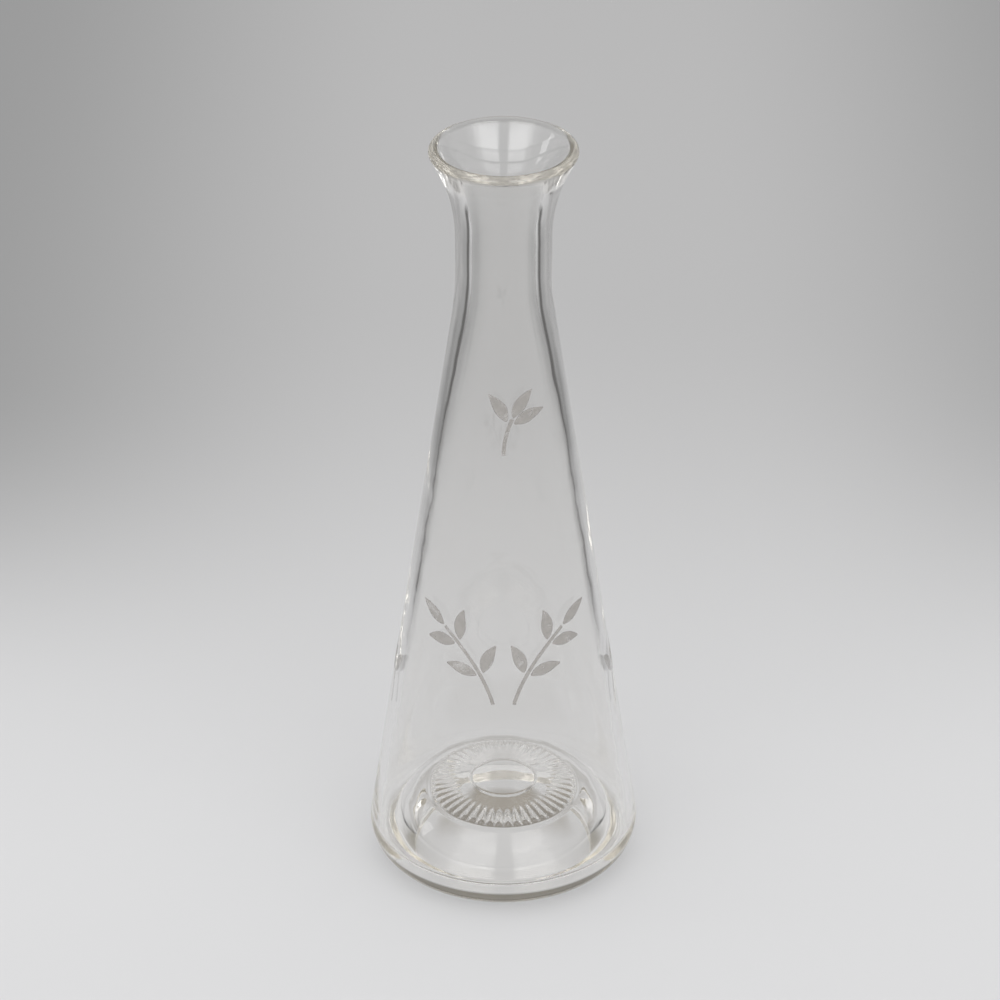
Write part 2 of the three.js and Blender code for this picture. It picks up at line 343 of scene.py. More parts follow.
class VesselShape:
    """The half section of the vessel, from the middle of its underside round to the middle of its floor."""

    def __init__(self, sizes):
        self.sizes = sizes
        self.heel_x = sizes.base_radius - sizes.heel_radius
        reach = self.heel_x - sizes.neck_radius
        rise = sizes.cone_height - sizes.heel_radius
        self.cone_angle = math.atan2(reach, rise) + math.asin(sizes.heel_radius / math.hypot(reach, rise))
        tangent = sizes.shoulder_bend * math.tan(self.cone_angle / 2)
        self.neck_start = sizes.cone_height + tangent
        self.flare_start = self.neck_start + sizes.neck_length
        self.shoulder_start = sizes.cone_height - tangent * math.cos(self.cone_angle)
        self.flank_foot = self.heel_x - sizes.ring_width
        self.sunburst_radius = self.flank_foot - sizes.flank_width - sizes.step_run
        flare_reach = sizes.flare_bend + sizes.lip_radius
        self.flare_turn = math.acos(1 - (sizes.mouth_radius - sizes.neck_radius) / flare_reach)
        self.lip_rise = flare_reach * math.sin(self.flare_turn)
        self.top = self.flare_start + self.lip_rise + sizes.lip_radius

    def cone_radius(self, z):
        return self.sizes.neck_radius + (self.sizes.cone_height - z) * math.tan(self.cone_angle)

    def outer_radius(self, z):
        if z < self.shoulder_start:
            return self.cone_radius(z)
        if z < self.neck_start:
            bend = self.sizes.shoulder_bend
            return self.sizes.neck_radius + bend - math.sqrt(bend ** 2 - (self.neck_start - z) ** 2)
        return self.sizes.neck_radius

    def inner_radius(self, z):
        share = ease((z - self.neck_start + self.sizes.wall_taper) / self.sizes.wall_taper)
        return self.outer_radius(z) - mix(self.sizes.body_wall, self.sizes.neck_wall, share)

    def underside(self):
        """The underside's path, from its middle to the standing ring, with its corners softened."""
        s = self.sizes
        flank_top = Vector((self.sunburst_radius + s.step_run, s.sunburst_height - s.sunburst_step))
        flank_foot = Vector((self.flank_foot, 0.0))
        chord = flank_foot - flank_top
        side = Vector((-chord.y, chord.x)).normalized()
        inset = math.sqrt(s.flank_bend ** 2 - chord.length_squared / 4)
        centre = (flank_top + flank_foot) / 2 - side * inset
        start, end = (math.atan2(p.y - centre.y, p.x - centre.x) for p in (flank_top, flank_foot))
        corners = [
            Vector((0.0, s.plateau_height)),
            Vector((s.plateau_radius, s.plateau_height)),
            Vector((s.plateau_radius + s.step_run, s.plateau_height - s.plateau_step)),
            Vector((self.sunburst_radius, s.sunburst_height)),
            *arc_points(centre.x, centre.y, s.flank_bend, start, end, FLANK_STEPS),
            Vector((self.heel_x, 0.0)),
        ]
        return softened(corners, s.step_run)

    def outside(self):
        """From the standing ring up the outside, over the lip and down to the foot of the flared mouth."""
        s = self.sizes
        heel = arc_points(
            self.heel_x, s.heel_radius, s.heel_radius, -math.pi / 2, self.cone_angle, HEEL_STEPS)
        shoulder = arc_points(
            s.neck_radius + s.shoulder_bend, self.neck_start, s.shoulder_bend,
            math.pi + self.cone_angle, math.pi)
        cone = points_between(heel[-1], shoulder[0])
        flare = arc_points(
            s.neck_radius + s.flare_bend, self.flare_start, s.flare_bend, math.pi, math.pi - self.flare_turn)
        bore = s.neck_radius - s.neck_wall
        lip_x = s.mouth_radius - s.lip_radius
        reach = lip_x - bore
        inner_bend = (reach ** 2 + self.lip_rise ** 2 - s.lip_radius ** 2) / (2 * (reach - s.lip_radius))
        inner_turn = math.asin(self.lip_rise / (inner_bend - s.lip_radius))
        lip = arc_points(
            lip_x, self.flare_start + self.lip_rise, s.lip_radius, -self.flare_turn, math.pi - inner_turn)
        inner_flare = arc_points(
            bore + inner_bend, self.flare_start, inner_bend, math.pi - inner_turn, math.pi)
        return [*heel, *cone, *shoulder, *flare, *lip, *inner_flare]

    def inside(self):
        """From the neck down the inside of the wall, round the corner and up to the crown of the floor."""
        s = self.sizes
        corner_z = s.heel_thickness + s.inner_corner
        corner_x = self.cone_radius(corner_z) - s.body_wall - s.inner_corner / math.cos(self.cone_angle)
        heights = [self.neck_start - s.wall_taper * step / TAPER_STEPS for step in range(TAPER_STEPS + 1)]
        taper = [Vector((self.inner_radius(z), z)) for z in heights]
        corner = arc_points(
            corner_x, corner_z, s.inner_corner, self.cone_angle, -math.pi / 2 - s.floor_foot)
        wall = points_between(taper[-1], corner[0])
        foot_x = corner_x - s.inner_corner * math.sin(s.floor_foot)
        foot_z = corner_z - s.inner_corner * math.cos(s.floor_foot)
        crown = s.plateau_height + s.crown_thickness
        power = math.tan(s.floor_foot) * foot_x / (crown - foot_z)
        dome = []
        for step in range(1, DOME_STEPS + 1):
            share = 1 - (step / DOME_STEPS) ** DOME_CROWDING
            dome.append(Vector((foot_x * share, mix(crown, foot_z, share ** power))))
        return [*taper, *wall, *corner, *dome]

    def section(self):
        """Points of the half section, each with the lift that a flute gives it."""
        s = self.sizes
        edge = self.sunburst_radius
        rows = []
        for point in resampled(self.underside(), UNDERSIDE_SPACING):
            share = max((point.x - s.flute_start) / (edge - s.flute_start), 0.0)
            left = 1.0 - ease((point.x - edge + s.flute_inset) / s.flute_fade)
            rows.append((point, s.flute_depth * share ** 2 * left))
        rows += [(point, 0.0) for point in [*self.outside(), *self.inside()]]
        kept = [rows[0]]
        for row in rows[1:]:
            if (row[0] - kept[-1][0]).length > SAME_POINT:
                kept.append(row)
        return kept


# Geometry Nodes

MERGE_DISTANCE = 2e-6
STROKE_ACROSS = 9
STROKE_ALONG = 41
LEAF_FULLNESS = 0.85


def new_tree(name, inputs):
    """A Geometry Nodes tree with geometry in and out, and further inputs given as name: (type, default)."""
    tree = bpy.data.node_groups.new(name, "GeometryNodeTree")
    tree.interface.new_socket("Geometry", in_out="INPUT", socket_type="NodeSocketGeometry")
    tree.interface.new_socket("Geometry", in_out="OUTPUT", socket_type="NodeSocketGeometry")
    for label, (kind, default) in inputs.items():
        socket = tree.interface.new_socket(label, in_out="INPUT", socket_type=kind)
        if default is not None:
            socket.default_value = default
    graph = Wire(tree)
    return tree, graph, graph.node("NodeGroupInput")


def close_tree(graph, geometry, material):
    """Ends a tree: instances are made real, the material is set and the geometry leaves the tree."""
    real = graph.node("GeometryNodeRealizeInstances", None, {"Geometry": geometry})
    dressed = graph.node("GeometryNodeSetMaterial", None, {"Geometry": real, "Material": material})
    graph.node("NodeGroupOutput", None, {"Geometry": dressed})


def lathe_tree():
    """Turns a half section round the upright axis, with flutes where the section carries lift."""
    tree, graph, given = new_tree("Turned glass", {
        "Segments": ("NodeSocketInt", 336),
        "Flutes": ("NodeSocketInt", 48),
        "Material": ("NodeSocketMaterial", None),
    })
    section = given.beside("Geometry")
    segments = given.beside("Segments")
    count = graph.node(
        "GeometryNodeAttributeDomainSize", {"component": "MESH"}, {"Geometry": section}, "Point Count")
    grid = graph.node("GeometryNodeMeshGrid", None, {
        "Size X": 1.0, "Size Y": 1.0, "Vertices X": count, "Vertices Y": segments + 1}, "Mesh")
    place = graph.node("ShaderNodeSeparateXYZ", None, {0: graph.node("GeometryNodeInputPosition")})
    row = ((place + 0.5) * (count - 1)).rounded()
    turn = ((place.beside("Y") + 0.5) * segments).rounded() / segments * (2 * math.pi)

    def read(value, data_type):
        return graph.node("GeometryNodeSampleIndex", {"data_type": data_type, "domain": "POINT"}, {
            "Geometry": section, "Value": value, "Index": row})

    point = graph.node("ShaderNodeSeparateXYZ", None, {
        0: read(graph.node("GeometryNodeInputPosition"), "FLOAT_VECTOR")})
    lift = read(
        graph.node("GeometryNodeInputNamedAttribute", {"data_type": "FLOAT"}, {"Name": "lift"}), "FLOAT")
    flute = 0.5 - (turn * given.beside("Flutes")).cosine() * 0.5
    turned = graph.node("ShaderNodeCombineXYZ", None, {
        "X": point * turn.cosine(), "Y": point * turn.sine(), "Z": point.beside("Z") + lift * flute})
    moved = graph.node("GeometryNodeSetPosition", None, {"Geometry": grid, "Position": turned})
    closed = graph.node("GeometryNodeMergeByDistance", None, {"Geometry": moved, "Distance": MERGE_DISTANCE})
    outward = graph.node("GeometryNodeFlipFaces", None, {"Mesh": closed})
    smooth = graph.node("GeometryNodeSetShadeSmooth", None, {"Geometry": outward})
    close_tree(graph, smooth, given.beside("Material"))
    return tree


def stroke_tree():
    """Bends a thin block along an arc, shapes it as a stem or a leaf and wraps it round the cone."""
    tree, graph, given = new_tree("Printed stroke", {
        "Start X": ("NodeSocketFloat", 0.0),
        "Start Y": ("NodeSocketFloat", 0.0),
        "Heading": ("NodeSocketFloat", 0.0),
        "Bend": ("NodeSocketFloat", 0.03),
        "Length": ("NodeSocketFloat", 0.01),
        "Width": ("NodeSocketFloat", 0.001),
        "Tip": ("NodeSocketFloat", 0.001),
        "Side": ("NodeSocketFloat", 1.0),
        "Azimuth": ("NodeSocketFloat", 0.0),
        "Height": ("NodeSocketFloat", 0.08),
        "Cone Angle": ("NodeSocketFloat", 0.15),
        "Foot Radius": ("NodeSocketFloat", 0.048),
        "Clearance": ("NodeSocketFloat", 0.00003),
        "Thickness": ("NodeSocketFloat", 0.00005),
        "Material": ("NodeSocketMaterial", None),
    })
    value = given.beside
    block = graph.node("GeometryNodeMeshCube", None, {
        "Size": (1.0, 1.0, 1.0),
        "Vertices X": STROKE_ACROSS, "Vertices Y": STROKE_ALONG, "Vertices Z": 2}, "Mesh")
    place = graph.node("ShaderNodeSeparateXYZ", None, {0: graph.node("GeometryNodeInputPosition")})
    share = place.beside("Y") + 0.5
    swell = (share ** LEAF_FULLNESS * math.pi).sine()
    width = value("Tip") + (value("Width") - value("Tip")) * swell
    across = value("Side") * place * width
    start, bend = value("Heading"), value("Bend")
    heading = start + share * value("Length") / bend
    x = value("Start X") + bend * (start.cosine() - heading.cosine()) + across * heading.cosine()
    y = value("Start Y") + bend * (heading.sine() - start.sine()) - across * heading.sine()
    z = value("Height") + y * value("Cone Angle").cosine()
    glass = value("Foot Radius") - z * graph.maths("TANGENT", value("Cone Angle"))
    turn = value("Azimuth") + value("Side") * x / glass
    radius = glass + value("Clearance") + (place.beside("Z") + 0.5) * value("Thickness")
    wrapped = graph.node("ShaderNodeCombineXYZ", None, {
        "X": radius * turn.sine(), "Y": -(radius * turn.cosine()), "Z": z})
    print_place = graph.node("ShaderNodeCombineXYZ", None, {"X": place, "Y": share, "Z": 0.0})
    marked = graph.node(
        "GeometryNodeStoreNamedAttribute", {"data_type": "FLOAT_VECTOR", "domain": "POINT"},
        {"Geometry": block, "Name": "print_place", "Value": print_place})
    moved = graph.node("GeometryNodeSetPosition", None, {"Geometry": marked, "Position": wrapped})
    smooth = graph.node("GeometryNodeSetShadeSmooth", None, {"Geometry": moved})
    close_tree(graph, smooth, value("Material"))
    return tree


def made_by(tree, name, mesh, values):
    """A plain mesh object made by a tree from a starting mesh and the values of the tree's named inputs."""
    source = bpy.data.objects.new(name + "_source", mesh)
    bpy.context.scene.collection.objects.link(source)
    modifier = source.modifiers.new("Shape", "NODES")
    modifier.node_group = tree
    for item in tree.interface.items_tree:
        if item.item_type == "SOCKET" and item.in_out == "INPUT" and item.name in values:
            modifier[item.identifier] = values[item.name]
    evaluated = source.evaluated_get(bpy.context.evaluated_depsgraph_get())
    result = bpy.data.meshes.new_from_object(evaluated)
    result.name = name
    bpy.data.objects.remove(source)
    bpy.data.meshes.remove(mesh)
    if not result.polygons:
        raise RuntimeError(f"{name} came out empty")
    piece = bpy.data.objects.new(name, result)
    bpy.context.scene.collection.objects.link(piece)
    return piece


def settle(piece, node):
    """The piece stands for a solid, whose imported part is hidden, and rides on the one body."""
    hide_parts(node)
    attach(piece, "root")


# Materials
# A pair of numbers is a range, from where something begins to show to where it shows in full. Lengths are in
# metres, from the named size of the vessel or else from the frame. The cards' angles are in radians.

HAZE = (0.45, 0.75)
HAZE_ROUGHNESS = 0.03
# Ranges of the painted shade in the glass: the front of the fluted ring, the heel and the lip, and the rim.
FLUTED_START = (0.002, 0.005)
FLUTED_END = (0.0001, -0.0002)
FLUTED_TOP = (-0.0010, -0.0016)
FLUTED_FRONT = (-0.002, -0.018)
FLUTED_SHARE = 0.6
HEEL_EDGE = (-0.0070, -0.0055)
HEEL_TOP = (0.0098, 0.0084)
HEEL_FRONT = (0.006, -0.010)
LIP_INSIDE = (-0.0031, -0.0028)
LIP_OUTSIDE = (-0.0013, -0.0020)
LIP_FOOT = (-0.0015, -0.0009)
LIP_FRONT = (0.012, 0.0)
RIM_EDGE = (-0.0025, -0.0018)
RIM_FOOT = (-0.0035, -0.0025)
RIM_SHARE = 0.45

PRINT_SIDE = (0.028, 0.040)
PRINT_EDGE = (0.38, 0.5)
PRINT_RUBBED = (0.5, 0.7)
PRINT_MOTTLED = (0.35, 0.7)
PRINT_COVER = 0.62
PRINT_THINNEST = 0.85
PRINT_THICKER = 0.25
PRINT_ROUGHNESS = 0.5
PRINT_ROUGHER = 0.3
WORN_BY_MOTTLE = 0.5
WORN_BY_RUBBING = 0.5
SIDE_LOSS = 0.75
EDGE_LOSS = 0.5
RUBBED_LOSS = 0.6

# Ranges of the painted light falloff on the floor.
FLOOR_FADE = (-0.05, 0.42)
FLOOR_FAR_FADE = (0.3, 1.1)
FLOOR_FADE_SHARE = 0.85
FLOOR_MIDDLE = 0.03
FLOOR_EDGE_ASIDE = (0.06, 0.3)
FLOOR_EDGE_BEHIND = (0.08, 0.34)
# Ranges of the painted dark cards on the floor.
CARD_FROM = (0.76, 0.9)
CARD_TO = (1.12, 1.0)
CARD_NEAR = (0.17, 0.26)
HOLLOW_BEHIND = (-0.010, 0.012)
HOLLOW_RADIUS = (0.031, 0.023)
CONTACT_INSIDE = (0.0330, 0.0345)
CONTACT_OUTSIDE = (0.0465, 0.041)
CONTACT_BEHIND = (-0.028, -0.008)
CONTACT_SHARE = 0.35
UNDER_RADIUS = (0.036, 0.030)
UNDER_SHARE = 0.1
GLOW_TO_CAMERA = 0.55
GLOW_TO_GLASS = 0.85


def new_material(name):
    material = bpy.data.materials.new(name)
    material.use_nodes = True
    material.node_tree.nodes.clear()
    return material, Wire(material.node_tree)


def from_axis(point):
    """Distance from the upright axis of a point that is separated into X, Y and Z."""
    depth = point.beside("Y")
    return (point * point + depth * depth) ** 0.5


def moulded_glass(colours):
    """Clear pressed glass: faintly wavy and hazy, with a warm tint in depth and dark painted shade at its
    edges.
    """
    material, graph = new_material(MOULDED_GLASS)
    place = graph.node("ShaderNodeTexCoord", None, None, "Object")
    waves = graph.node("ShaderNodeTexNoise", None, {"Vector": place, "Scale": 40.0, "Detail": 2.0})
    haze = graph.node("ShaderNodeTexNoise", None, {"Vector": place, "Scale": 60.0, "Detail": 4.0})
    rough = haze.smooth(*HAZE, 0.0, HAZE_ROUGHNESS)
    wavy = graph.node("ShaderNodeBump", None, {"Strength": 0.6, "Distance": 0.0005, "Height": waves})
    surface = graph.node("ShaderNodeBsdfPrincipled", None, {
        "Base Color": painted_edge_shade(graph, place, colours), "Roughness": rough, "IOR": 1.5,
        "Transmission Weight": 1.0, "Normal": wavy})
    tint = graph.node("ShaderNodeVolumeAbsorption", None, {"Color": opaque(colours.glass), "Density": 5.0})
    graph.node("ShaderNodeOutputMaterial", None, {"Surface": surface, "Volume": tint})
    return material


def painted_edge_shade(graph, place, colours):
    """The glass's colour, with painted shade at the front of the heel, the lip's edge and the fluted ring,
    and lighter painted shade round the rim.
    """
    shape = VesselShape(bpy.context.scene.decanter_vessel)
    s = shape.sizes
    point = graph.node("ShaderNodeSeparateXYZ", None, {0: place})
    depth, height = point.beside("Y"), point.beside("Z")
    reach = from_axis(point)
    fluted = (
        reach.near(s.flute_start, *FLUTED_START) * reach.near(shape.sunburst_radius, *FLUTED_END)
        * height.near(s.plateau_height, *FLUTED_TOP) * depth.smooth(*FLUTED_FRONT))
    heel = reach.near(s.base_radius, *HEEL_EDGE) * height.smooth(*HEEL_TOP) * depth.smooth(*HEEL_FRONT)
    lip = (
        reach.near(s.mouth_radius, *LIP_INSIDE) * reach.near(s.mouth_radius, *LIP_OUTSIDE)
        * height.near(shape.top, *LIP_FOOT) * depth.smooth(*LIP_FRONT))
    rim = reach.near(s.mouth_radius, *RIM_EDGE) * height.near(shape.top, *RIM_FOOT)
    # Painted shade: these masks darken the glass's colour at the heel, the fluted ring, the lip and the rim.
    dark = heel.larger(fluted * FLUTED_SHARE).larger(lip).larger(rim * RIM_SHARE)
    return dark.mixed(opaque(colours.glass_skin), opaque(colours.glass_painted_shade))


def fired_enamel(colours):
    """Worn matt enamel: mottled, rubbed thin in streaks and thin at the edges of each stroke."""
    material, graph = new_material(FIRED_ENAMEL)
    place = graph.node("ShaderNodeTexCoord", None, None, "Object")
    side = abs(graph.node("ShaderNodeSeparateXYZ", None, {0: place})).smooth(*PRINT_SIDE)
    stroke = graph.node("ShaderNodeAttribute", {"attribute_name": "print_place"}, None, "Vector")
    edge = abs(graph.node("ShaderNodeSeparateXYZ", None, {0: stroke})).smooth(*PRINT_EDGE)
    mottle = graph.node("ShaderNodeTexNoise", None, {"Vector": place, "Scale": 420.0, "Detail": 4.0})
    wear = graph.node("ShaderNodeTexNoise", None, {
        "Vector": place, "Scale": 190.0, "Detail": 6.0, "Roughness": 0.7, "Distortion": 0.6})
    rubbed = wear.smooth(*PRINT_RUBBED)
    sound = (1.0 - rubbed * RUBBED_LOSS) * (1.0 - edge * EDGE_LOSS) * (1.0 - side * SIDE_LOSS)
    cover = sound * (PRINT_THINNEST + mottle * PRINT_THICKER) * PRINT_COVER
    worn = mottle.smooth(*PRINT_MOTTLED) * WORN_BY_MOTTLE + rubbed * WORN_BY_RUBBING
    tone = worn.mixed(opaque(colours.enamel), opaque(colours.enamel_worn))
    grain = graph.node("ShaderNodeBump", None, {"Strength": 0.4, "Distance": 0.0001, "Height": mottle})
    rough = PRINT_ROUGHNESS + mottle * PRINT_ROUGHER
    surface = graph.node("ShaderNodeBsdfPrincipled", None, {
        "Base Color": tone, "Roughness": rough, "Alpha": cover, "Normal": grain})
    graph.node("ShaderNodeOutputMaterial", None, {"Surface": surface})
    return material


def studio_floor(colours):
    """Pale paper, darker away from the object as painted light falloff; the glass also shows painted dark
    cards and painted shade under it.
    """
    material, graph = new_material(STUDIO_FLOOR)
    place = graph.node("ShaderNodeSeparateXYZ", None, {
        0: graph.node("ShaderNodeTexCoord", None, None, "Object")})
    depth = place.beside("Y")
    reach = from_axis(place)
    # Painted light falloff: the paper darkens behind the object, and more so behind it and to its sides.
    far = depth.smooth(*FLOOR_FADE, 0.0, FLOOR_FADE_SHARE) + depth.smooth(
        *FLOOR_FAR_FADE, 0.0, 1.0 - FLOOR_FADE_SHARE)
    edge = abs(place - FLOOR_MIDDLE).smooth(*FLOOR_EDGE_ASIDE) * depth.smooth(*FLOOR_EDGE_BEHIND)
    middle = far.mixed(opaque(colours.floor_near), opaque(colours.floor_far))
    paper = edge.mixed(middle, opaque(colours.floor_edge))
    aside = graph.maths("ARCTAN2", abs(place), depth)
    # Painted dark cards: dark patches on the floor, shown only to rays through or off the glass.
    card = aside.smooth(*CARD_FROM) * aside.smooth(*CARD_TO) * reach.smooth(*CARD_NEAR)
    camera = graph.node("ShaderNodeLightPath", None, None, "Is Camera Ray")
    through = camera.beside("Is Transmission Ray").larger(camera.beside("Is Glossy Ray"))
    hollow = depth.smooth(*HOLLOW_BEHIND) * reach.smooth(*HOLLOW_RADIUS)
    contact = (
        reach.smooth(*CONTACT_INSIDE) * reach.smooth(*CONTACT_OUTSIDE) * depth.smooth(*CONTACT_BEHIND))
    under = reach.smooth(*UNDER_RADIUS, 0.0, UNDER_SHARE)
    hidden = hollow.larger(contact * CONTACT_SHARE).larger(under)
    glow = camera * GLOW_TO_CAMERA + through * card.larger(hidden).larger(GLOW_TO_GLASS)
    ground = (hidden * through).mixed(paper, opaque(colours.shade))
    lit = graph.node("ShaderNodeBsdfPrincipled", None, {
        "Base Color": ground, "Roughness": 0.8, "Specular IOR Level": 0.2})
    shown = graph.node("ShaderNodeEmission", None, {
        "Color": (card * through).mixed(ground, opaque(colours.card)), "Strength": 1.0})
    both = graph.node("ShaderNodeMixShader", None, {0: glow, 1: lit, 2: shown})
    graph.node("ShaderNodeOutputMaterial", None, {"Surface": both})
    return material


def finish_for(name):
    """The named material, made the first time that it is asked for."""
    if name in bpy.data.materials:
        return bpy.data.materials[name]
    makers = {MOULDED_GLASS: moulded_glass, FIRED_ENAMEL: fired_enamel, STUDIO_FLOOR: studio_floor}
    return makers[name](bpy.context.scene.decanter_colours)


# Vessel

class DECANTER_OT_vessel(bpy.types.Operator):
    """Build the turned glass vessel with its fluted push-up"""

    bl_idname = "decanter.vessel"
    bl_label = "Glass vessel"

    def execute(self, context):
        sizes = context.scene.decanter_vessel
        rows = VesselShape(sizes).section()
        section = bpy.data.meshes.new("vessel_section")
        steps = [(at, at + 1) for at in range(len(rows) - 1)]
        section.from_pydata([(point.x, 0.0, point.y) for point, lift in rows], steps, [])
        lifts = section.attributes.new("lift", "FLOAT", "POINT")
        lifts.data.foreach_set("value", [lift for point, lift in rows])
        vessel = made_by(lathe_tree(), "glass_body", section, {
            "Segments": sizes.round_segments, "Flutes": sizes.flute_count,
            "Material": finish_for(MOULDED_GLASS)})
        settle(vessel, "glass_vessel")
        return {"FINISHED"}


# Print

class PrintLayout:
    """The printed branches: for each patch its name, its stroke and its place on the cone."""

    def __init__(self, sizes, shape):
        self.sizes = sizes
        self.stems = []
        self.leaves = []
        for label, side in (("left", -1), ("right", 1)):
            spray = {"Side": side, "Azimuth": 0.0, "Height": sizes.spray_height}
            azimuth = side * sizes.side_sprig_azimuth
            sprig = {"Side": side, "Azimuth": azimuth, "Height": sizes.side_sprig_height}
            self.branch("spray_" + label, spray, sizes.spray_gap / 2, sizes.spray_heading,
                        sizes.spray_bend, sizes.spray_length)
            self.branch("side_sprig_" + label, sprig, 0.0, 0.0, sizes.sprig_bend, sizes.sprig_length)
        upper = {"Side": 1, "Azimuth": 0.0, "Height": shape.neck_start - sizes.upper_sprig_drop}
        self.branch("upper_sprig", upper, 0.0, 0.0, sizes.sprig_bend, sizes.sprig_length)

    def branch(self, name, place, start, heading, bend, reach):
        """A stem with its pairs of leaves and a leaf at its end."""
        s = self.sizes
        stem = {"Start X": start, "Start Y": 0.0, "Heading": heading, "Bend": bend, "Length": reach,
                "Width": s.stem_width, "Tip": s.stem_width, **place}
        self.stems.append((name + "_stem", stem))
        offset = (s.stem_width / 2 + s.print_gap) / math.sin(s.leaf_lean)
        distance, pair = s.first_leaf, 1
        while distance < reach:
            x, y, turn = self.along(stem, distance)
            for label, hand in (("outer", 1), ("inner", -1)):
                lean = turn + hand * s.leaf_lean
                foot = (x + math.sin(lean) * offset, y + math.cos(lean) * offset)
                self.leaf(f"{name}_{label}_leaf_{pair}", foot, lean, hand * s.leaf_bend, place)
            distance, pair = distance + s.leaf_spacing, pair + 1
        x, y, turn = self.along(stem, reach)
        foot = (x + math.sin(turn) * s.print_gap, y + math.cos(turn) * s.print_gap)
        self.leaf(name + "_end_leaf", foot, turn, bend, place)

    def leaf(self, name, foot, heading, bend, place):
        s = self.sizes
        self.leaves.append((name, {
            "Start X": foot[0], "Start Y": foot[1], "Heading": heading, "Bend": bend,
            "Length": s.leaf_length, "Width": s.leaf_width, "Tip": s.tip_width, **place}))

    @staticmethod
    def along(stem, distance):
        """Where a stem is after a distance, and which way it heads there."""
        turn = stem["Heading"] + distance / stem["Bend"]
        x = stem["Start X"] + stem["Bend"] * (math.cos(stem["Heading"]) - math.cos(turn))
        y = stem["Start Y"] + stem["Bend"] * (math.sin(turn) - math.sin(stem["Heading"]))
        return x, y, turn


def print_layout(context):
    return PrintLayout(context.scene.decanter_print, VesselShape(context.scene.decanter_vessel))


def print_patches(context, patches):
    """Makes one enamel film for each patch of a layout."""
    sizes = context.scene.decanter_print
    shape = VesselShape(context.scene.decanter_vessel)
    tree = bpy.data.node_groups.get("Printed stroke") or stroke_tree()
    shared = {
        "Cone Angle": shape.cone_angle, "Foot Radius": shape.cone_radius(0.0),
        "Clearance": sizes.enamel_clearance, "Thickness": sizes.enamel_thickness,
    }
    for name, stroke in patches:
        values = {key: float(value) for key, value in {**shared, **stroke}.items()}
        values["Material"] = finish_for(FIRED_ENAMEL)
        film = made_by(tree, "print_" + name, bpy.data.meshes.new(name), values)
        settle(film, name)


class DECANTER_OT_print_stems(bpy.types.Operator):
    """Print the curved stems in enamel"""

    bl_idname = "decanter.print_stems"
    bl_label = "Printed stems"

    def execute(self, context):
        print_patches(context, print_layout(context).stems)
        return {"FINISHED"}


class DECANTER_OT_print_leaves(bpy.types.Operator):
    """Print the leaves in enamel"""

    bl_idname = "decanter.print_leaves"
    bl_label = "Printed leaves"

    def execute(self, context):
        print_patches(context, print_layout(context).leaves)
        return {"FINISHED"}


# Stage
# The ranges of the light are turns from the front, in radians, or rises, from 0 level to 1 overhead.

PANEL_GAP = (0.11, 0.2)
PANEL_SIDE = (1.25, 1.0)
PANEL_FOOT = (0.08, 0.18)
PANEL_TOP = (0.9, 0.76)
GLINT_GAP = (0.12, 0.28)
GLINT_SIDE = (1.0, 0.8)
GLINT_TOP = (0.74, 0.62)
BACK_TURN = (1.9, 2.4)
BACK_TOP = (0.8, 0.6)
OVERHEAD = (0.1, 0.75)


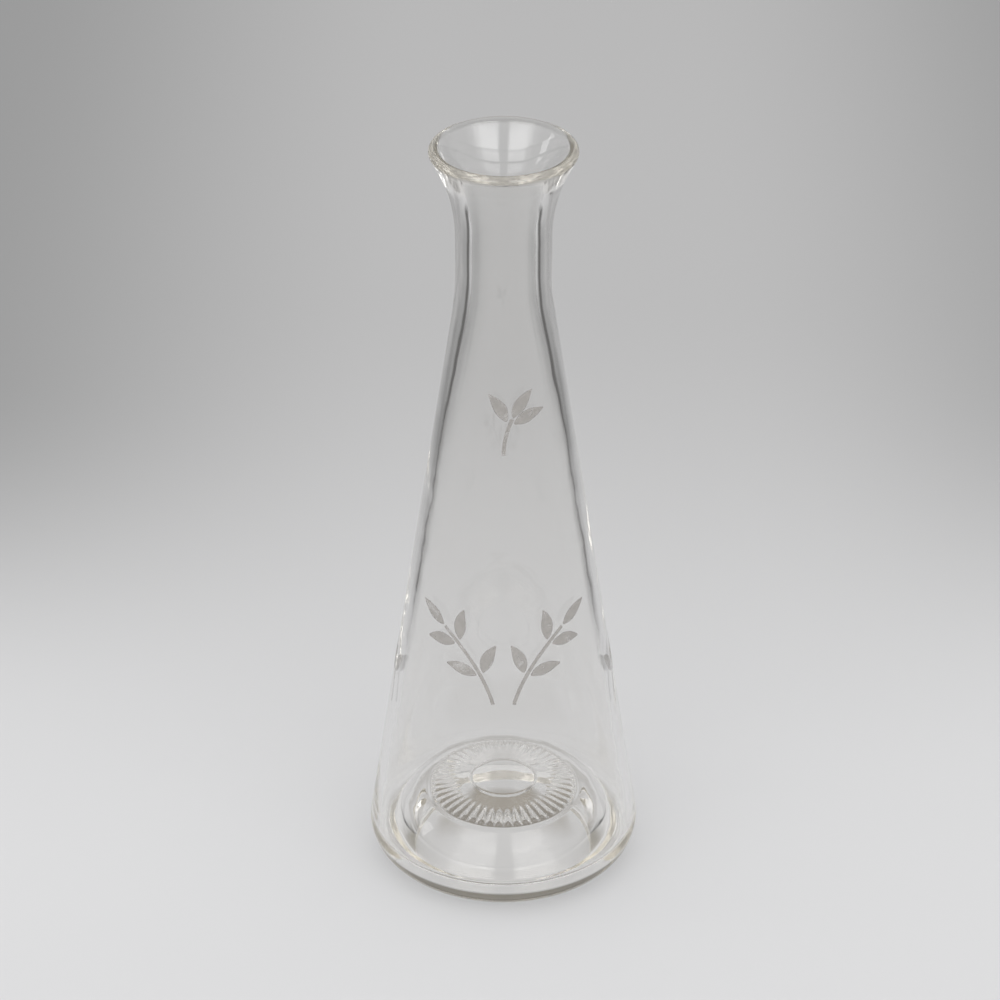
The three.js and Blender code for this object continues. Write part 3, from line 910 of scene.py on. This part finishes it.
class DECANTER_OT_stage(bpy.types.Operator):
    """Set up the floor, the light and the camera"""

    bl_idname = "decanter.stage"
    bl_label = "Studio stage"

    def execute(self, context):
        stage = context.scene.decanter_stage
        self.lay_floor(context, stage)
        self.light_world(context, stage, context.scene.decanter_colours)
        self.hang_lamp(context, stage)
        self.set_camera(context, stage)
        context.scene.view_settings.view_transform = "Standard"
        cycles = context.scene.cycles
        cycles.max_bounces = stage.light_bounces
        cycles.glossy_bounces = stage.light_bounces
        cycles.transmission_bounces = stage.light_bounces
        return {"FINISHED"}

    def lay_floor(self, context, stage):
        turns = [2 * math.pi * step / FLOOR_CORNERS for step in range(FLOOR_CORNERS)]
        corners = [
            (stage.floor_radius * math.cos(turn), stage.floor_radius * math.sin(turn), -stage.floor_drop)
            for turn in turns]
        mesh = bpy.data.meshes.new("studio_floor")
        mesh.from_pydata(corners, [], [list(range(FLOOR_CORNERS))])
        mesh.materials.append(finish_for(STUDIO_FLOOR))
        floor = bpy.data.objects.new("studio_floor", mesh)
        context.scene.collection.objects.link(floor)

    def light_world(self, context, stage, colours):
        """Soft light from all round, with two panels in front that show brighter in the glass."""
        world = bpy.data.worlds.new("Soft studio")
        world.use_nodes = True
        world.node_tree.nodes.clear()
        graph = Wire(world.node_tree)
        way = graph.node("ShaderNodeSeparateXYZ", None, {
            0: graph.node("ShaderNodeTexCoord", None, None, "Generated")})
        rise = way.beside("Z")
        turn = graph.maths("ARCTAN2", abs(way), -way.beside("Y"))
        panels = (
            turn.smooth(*PANEL_GAP) * turn.smooth(*PANEL_SIDE)
            * rise.smooth(*PANEL_FOOT) * rise.smooth(*PANEL_TOP))
        behind = turn.smooth(*BACK_TURN) * rise.smooth(*BACK_TOP)
        open_sky = rise.smooth(*OVERHEAD).mixed(opaque(colours.sky_side), opaque(colours.sky_top))
        dimmed = behind.mixed(open_sky, opaque(colours.sky_back))
        light = panels.mixed(dimmed, opaque(colours.sky_panel))
        camera = graph.node("ShaderNodeLightPath", None, None, "Is Camera Ray")
        seen = camera.mixed(light, opaque(colours.horizon))
        front = turn.smooth(*GLINT_GAP) * turn.smooth(*GLINT_SIDE) * rise.smooth(*GLINT_TOP)
        glint = panels * front * camera.beside("Is Glossy Ray")
        sky = graph.node("ShaderNodeBackground", None, {
            "Color": seen, "Strength": stage.sky_strength + glint * stage.glint_strength})
        graph.node("ShaderNodeOutputWorld", None, {"Surface": sky})
        context.scene.world = world

    def hang_lamp(self, context, stage):
        lamp = bpy.data.lights.new("window_left", "AREA")
        lamp.shape = "RECTANGLE"
        lamp.size = stage.lamp_width
        lamp.size_y = stage.lamp_height
        lamp.energy = stage.lamp_power
        holder = bpy.data.objects.new("window_left", lamp)
        place = Vector(stage.lamp_place)
        holder.location = place
        way = Vector((0.0, 0.0, stage.lamp_aim)) - place
        holder.rotation_euler = way.to_track_quat("-Z", "Y").to_euler()
        context.scene.collection.objects.link(holder)

    def set_camera(self, context, stage):
        camera = bpy.data.cameras.new("photo_camera")
        camera.sensor_width = SENSOR_WIDTH
        camera.lens = camera.sensor_width * stage.focal_pixels / PHOTO_SIDE
        holder = bpy.data.objects.new("photo_camera", camera)
        aside = (PHOTO_SIDE / 2 - stage.axis_pixels) * stage.camera_distance / stage.focal_pixels
        reach = stage.camera_distance * math.cos(stage.camera_pitch)
        rise = stage.camera_distance * math.sin(stage.camera_pitch)
        holder.location = (aside, -reach, stage.target_height + rise)
        holder.rotation_euler = (math.pi / 2 - stage.camera_pitch, 0.0, 0.0)
        context.scene.collection.objects.link(holder)
        context.scene.camera = holder


# Add-on

class DECANTER_PT_panel(bpy.types.Panel):
    """The decanter's pieces and their sizes"""

    bl_idname = "DECANTER_PT_panel"
    bl_label = "Glass decanter"
    bl_space_type = "VIEW_3D"
    bl_region_type = "UI"
    bl_category = "Decanter"

    def draw(self, context):
        for operator in OPERATORS:
            self.layout.operator(operator.bl_idname)
        for group in SETTINGS:
            settings = getattr(context.scene, group)
            box = self.layout.box()
            for name in settings.bl_rna.properties.keys():
                if name not in ("rna_type", "name"):
                    box.prop(settings, name)


SETTINGS = {
    "decanter_vessel": VesselSizes,
    "decanter_print": PrintSizes,
    "decanter_colours": FinishColours,
    "decanter_stage": StageSettings,
}
OPERATORS = (DECANTER_OT_vessel, DECANTER_OT_print_stems, DECANTER_OT_print_leaves, DECANTER_OT_stage)


def register():
    for cls in (*SETTINGS.values(), *OPERATORS, DECANTER_PT_panel):
        bpy.utils.register_class(cls)
    for name, group in SETTINGS.items():
        setattr(bpy.types.Scene, name, PointerProperty(type=group))


def unregister():
    for name in SETTINGS:
        delattr(bpy.types.Scene, name)
    for cls in (DECANTER_PT_panel, *OPERATORS, *SETTINGS.values()):
        bpy.utils.unregister_class(cls)


def main():
    register()
    bpy.ops.decanter.vessel()
    bpy.ops.decanter.print_stems()
    bpy.ops.decanter.print_leaves()
    bpy.ops.decanter.stage()


if __name__ == "__main__":
    main()
